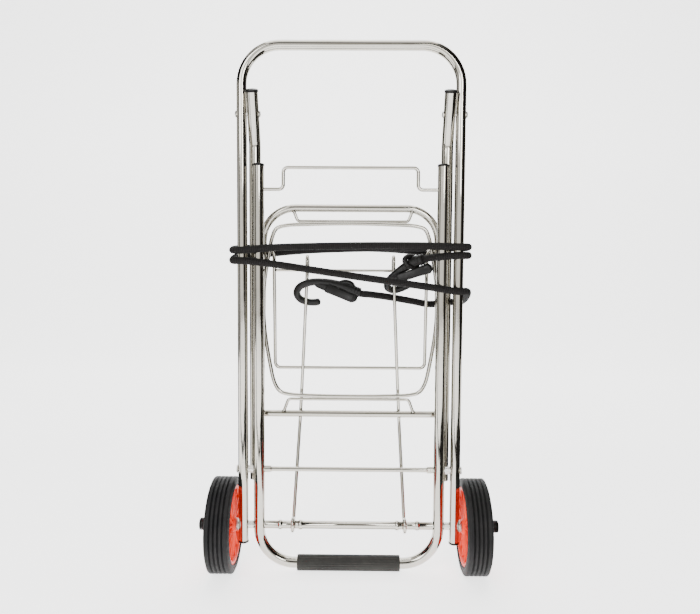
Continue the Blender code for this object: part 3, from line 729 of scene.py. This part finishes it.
def eye_ring(centre, facing, wide, tall):
    """The oval eye that holds the cord's end, with the cord's knot in it."""
    facing = Vector(facing).normalized()
    across = (Vector((1, 0, 0)) - facing * facing.x).normalized()
    up = across.cross(facing)
    middle = Vector(centre) * MM
    path = []
    for i in range(48):
        angle = 2 * pi * i / 48
        path.append(middle + (across * cos(angle) * wide + up * sin(angle) * tall) * MM)
    shape = sweep(path, 3.3 * MM, 20, closed=True)
    knot = bmesh.new()
    place = Matrix.Translation(middle) @ Matrix.Diagonal((5.4 * MM, 4.2 * MM, 4.2 * MM, 1))
    bmesh.ops.create_icosphere(knot, subdivisions=4, radius=1, matrix=place)
    for vert in knot.verts:
        spot = vert.co - middle
        vert.co = middle + spot * (1 + 0.1 * sin(spot.x * 2200 + spot.z * 1500))
    join(shape, knot)
    return shape


def shank(points):
    """The hook itself, thick where the cord ends and round at its tip."""

    def swell(at, length):
        thickness = 1.38 - 0.42 * min(at / length / 0.35, 1)
        tip = (length - at) / (3.4 * MM)
        return thickness * (max(0.08, 1 - (1 - tip) ** 2) ** 0.5 if tip < 1 else 1)

    return sweep(through(run(*points), 7), HOOK_R, 24, swell=swell)


def barrel(start, way):
    """The ridged barrel round the cord's end."""
    start, way = Vector(start) * MM, Vector(way).normalized()
    steps, back, length = 26, 3.5 * MM, 14 * MM
    path = [start + way * (length * i / steps - back) for i in range(steps + 1)]

    def ridged(at, length):
        share = at / length
        ridge = 0.07 * max(0.0, sin(share * 7 * pi))
        ends = min(share, 1 - share) / 0.09
        return (1 + ridge) * (0.72 + 0.28 * min(ends, 1))

    return sweep(path, 6.6 * MM, 32, swell=ridged)


def broad_body(points):
    """The broad flattened body along the shank, narrower toward the hook's bend."""

    def narrowing(at, length):
        share = at / length
        ends = min(share, 1 - share) / 0.06
        return (1.25 - 0.5 * share) * (0.45 + 0.55 * min(ends, 1))

    path = through(run(*points), 9)
    return sweep(path, 5.6 * MM, 28, swell=narrowing, flat=0.62, flat_way=Vector((0, 1, 0)))


def add_thumb_tab(shape, start, stop):
    """Adds the flat tab along the body's front from start to stop, with ridges toward stop."""
    start, stop = (Vector(p) for p in run(start, stop))
    length = (stop - start).length
    along = (stop - start).normalized()
    up = along.cross(Vector((0, -1, 0.25))).normalized()
    turn = Matrix((along, up, along.cross(up))).transposed().to_4x4()
    place = Matrix.Translation((start + stop) / 2) @ turn
    box_shape(shape, (length, 11 * MM, 3 * MM), place, 1.3 * MM)
    for i in range(7):
        ridge = place @ Matrix.Translation((length * (0.12 + 0.05 * i), 0, 1.5 * MM))
        box_shape(shape, (1 * MM, 9 * MM, 1.2 * MM), ridge, 0.35 * MM)


def hook(name, points, cord_way, eye, body, tab):
    """A moulded hook: a shank bent to a J, a ridged barrel, an eye, a broad body and a flat thumb tab."""
    shape = shank(points)
    join(shape, barrel(points[0], cord_way))
    join(shape, eye_ring(*eye))
    join(shape, broad_body(body))
    add_thumb_tab(shape, *tab)
    place_piece(name, shape, BLACK, "frame")


def cord_and_hooks():
    path = through(cord_route(), 10)
    bar("elastic_cord", path, CORD_R, "frame", finish=CORD, around=28)
    lower = [(3, 16, 362), (-10, 16.5, 367), (-26, 17, 371), (-42, 17.8, 372.5), (-54, 18.2, 371)]
    lower += [(-65, 21, 366), (-69.5, 27, 358), (-66, 33, 350), (-58, 35, 346), (-47, 35.4, 345)]
    lower += [(-39, 35.4, 346.5)]
    eye = ((-6, 14.5, 366), (0, -1, 0.1), 9.5, 6.6)
    body = [(9, 14, 351.5), (-8, 13.5, 357), (-27, 14.5, 364), (-46, 17, 371)]
    hook("bungee_hook_left", lower, (10, 1.2, -4), eye, body, [(-31, 11, 365), (4, 10, 351)])
    upper = [(83.5, 8, 400), (76, 10.5, 396), (68, 13, 391), (60, 14.5, 385), (52, 16.5, 378)]
    upper += [(48, 21, 371), (49, 28, 365), (57, 33.6, 362), (68, 34.2, 365), (80, 34.2, 371)]
    eye = ((77, 8.5, 399), (0.45, -0.85, 0.3), 9.5, 6.8)
    body = [(103, 3.5, 392), (88, 7, 387), (68, 11.5, 379.5), (50, 16.5, 373.5)]
    hook("bungee_hook_right", upper, (9, -5, 2.5), eye, body, [(60, 8.5, 377), (101, 1.5, 391)])


# Studio


def studio():
    """A pale floor that curves up into a wall behind."""
    shape = bmesh.new()
    outline = [(-3.5, 0.0)] + arc(1.5, 1.0, 1.0, -90, 0, 16) + [(2.5, 3.2)]
    rows = []
    for y, z in outline:
        rows.append([shape.verts.new((x, y, z)) for x in (-2.1, 2.1)])
    for low, high in zip(rows, rows[1:]):
        shape.faces.new((low[0], low[1], high[1], high[0]))
    mesh = bpy.data.meshes.new("studio_floor")
    shape.to_mesh(mesh)
    shape.free()
    mesh.shade_smooth()
    m = Nodes("studio_white", (0.9, 0.9, 0.9), 0.8, Emission_Color=(1, 1, 1, 1), Emission_Strength=2.3)
    m.rough(m.noise(3), 0.75, 0.9)
    mesh.materials.append(m.material)
    floor = bpy.data.objects.new("studio_floor", mesh)
    bpy.context.scene.collection.objects.link(floor)


def dark_card(name, low, high):
    """A dark upright or flat card that only reflections show, as a studio's flags do for chrome."""
    low, high = Vector(low), Vector(high)
    shape = bmesh.new()
    block = Matrix.Translation((low + high) / 2) @ Matrix.Diagonal((*(high - low), 1))
    bmesh.ops.create_cube(shape, size=1, matrix=block)
    mesh = bpy.data.meshes.new(name)
    shape.to_mesh(mesh)
    shape.free()
    mesh.materials.append(CARD)
    card = bpy.data.objects.new(name, mesh)
    card.visible_camera = False
    card.visible_shadow = False
    card.visible_diffuse = False
    bpy.context.scene.collection.objects.link(card)


def dark_cards():
    """Cards on the floor and upright, which give every tube a dark edge and a dark streak."""
    lying, tall = (0.002, 0.004), (0.0, 1.5)
    places = {
        "card_floor_right": ((0.2, 0.9), (-0.75, 0.12), lying),
        "card_floor_left": ((-0.5, -0.23), (-0.3, 0.0), lying),
        "card_floor_back_left": ((-0.9, -0.22), (0.09, 0.6), lying),
        "card_floor_back_right": ((0.24, 0.9), (0.1, 0.6), lying),
        "card_floor_front": ((-0.9, 0.2), (-0.62, -0.5), lying),
        "card_right": ((0.6, 0.61), (-0.55, 0.05), tall),
        "card_left": ((-0.61, -0.6), (0.1, 0.7), tall),
        "card_front_left": ((-0.62, -0.61), (-0.52, -0.36), tall),
        "card_back_right": ((0.5, 0.9), (0.5, 0.51), tall),
    }
    for name, spans in places.items():
        low, high = zip(*spans)
        dark_card(name, low, high)


def area_light(name, place, target, size, power):
    light = bpy.data.lights.new(name, "AREA")
    light.energy = power
    light.size = size
    made = bpy.data.objects.new(name, light)
    made.location = place
    made.rotation_euler = (Vector(target) - Vector(place)).to_track_quat("-Z", "Y").to_euler()
    bpy.context.scene.collection.objects.link(made)


def lights():
    middle = (0, 0, 0.3)
    area_light("key", (-1.0, -1.5, 1.3), middle, 1.0, 22)
    area_light("fill", (0.5, -1.6, 0.9), middle, 0.5, 9)
    area_light("top", (0, 0.3, 2.0), middle, 1.2, 18)
    area_light("wall", (0, 1.2, 2.2), (0, 2.4, 0.6), 1.5, 14)


def as_share(tree, value, reach):
    """This value, which runs from -reach to reach, as 0 to 1."""
    node = tree.nodes.new("ShaderNodeMapRange")
    node.inputs["From Min"].default_value = -reach
    node.inputs["From Max"].default_value = reach
    tree.links.new(value, node.inputs["Value"])
    return node.outputs["Result"]


def ramp(tree, share, stops, tint=(1, 1, 1)):
    """A colour ramp through these levels, each at its place from 0 to 1."""
    node = tree.nodes.new("ShaderNodeValToRGB")
    elements = node.color_ramp.elements
    while len(elements) < len(stops):
        elements.new(1.0)
    for element, (at, level) in zip(elements, stops):
        element.position = at
        element.color = (*(level * part for part in tint), 1)
    tree.links.new(share, node.inputs["Fac"])
    return node.outputs["Color"]


def surroundings():
    """A bright room with dark upright panels and a dark band, which the tubes show as streaks.

    The camera itself sees plain white behind the floor and wall.
    """
    world = bpy.data.worlds.new("studio_room")
    bpy.context.scene.world = world
    world.use_nodes = True
    tree = world.node_tree
    back = tree.nodes["Background"]
    back.inputs["Strength"].default_value = 1.25
    place = tree.nodes.new("ShaderNodeTexCoord")
    split = tree.nodes.new("ShaderNodeSeparateXYZ")
    tree.links.new(place.outputs["Generated"], split.inputs[0])
    forward = math_node(tree, "MULTIPLY", split.outputs["Y"], -1)
    turn = math_node(tree, "ARCTAN2", split.outputs["X"], forward)
    stops = [(0.0, 0.9), (0.04, 0.9), (0.05, 0.02), (0.12, 0.02), (0.14, 0.8), (0.3, 0.8), (0.31, 0.1)]
    stops += [(0.34, 0.1), (0.35, 1.3), (0.56, 1.3), (0.58, 0.3), (0.61, 0.3), (0.62, 0.01), (0.83, 0.01)]
    stops += [(0.84, 1.1), (0.91, 1.1), (0.92, 0.02), (0.97, 0.02), (0.98, 0.9)]
    panels = ramp(tree, as_share(tree, turn, pi), stops, (1, 0.985, 0.95))
    levels = [(0.0, 0.3), (0.42, 0.3), (0.48, 1.0), (0.63, 1.0), (0.66, 0.03), (0.84, 0.03), (0.87, 1.0)]
    ceiling = ramp(tree, as_share(tree, split.outputs["Z"], 1), levels)
    both = tree.nodes.new("ShaderNodeMix")
    both.data_type = "RGBA"
    both.blend_type = "MULTIPLY"
    both.inputs[0].default_value = 1
    tree.links.new(panels, both.inputs[6])
    tree.links.new(ceiling, both.inputs[7])
    seen = tree.nodes.new("ShaderNodeLightPath")
    plain = tree.nodes.new("ShaderNodeMix")
    plain.data_type = "RGBA"
    plain.inputs[7].default_value = (1.9, 1.9, 1.9, 1)
    tree.links.new(seen.outputs["Is Camera Ray"], plain.inputs[0])
    tree.links.new(both.outputs[2], plain.inputs[6])
    tree.links.new(plain.outputs[2], back.inputs["Color"])


def camera():
    """Close in front and almost square on, looking slightly down, with a slight roll."""
    lens, sensor, distance = 34, 36, 0.833
    pitch, turn, roll = radians(3.8), radians(0.5), radians(0.35)
    target = Vector((0, 0, 0.3415))
    way = Vector((sin(turn) * cos(pitch), -cos(turn) * cos(pitch), sin(pitch)))
    data = bpy.data.cameras.new("camera")
    data.lens = lens
    data.sensor_width = sensor
    data.sensor_fit = "HORIZONTAL"
    made = bpy.data.objects.new("camera", data)
    made.location = target + way * distance
    level = (-way).to_track_quat("-Z", "Y").to_matrix().to_4x4()
    made.rotation_euler = (level @ Matrix.Rotation(roll, 4, "Z")).to_euler()
    bpy.context.scene.collection.objects.link(made)
    bpy.context.scene.camera = made


frames()
platform()
foot()
tie_rods()
retaining_wire()
fasteners()
axle()
wheels()
foot_sleeve()
cord_and_hooks()
studio()
dark_cards()
lights()
surroundings()
camera()
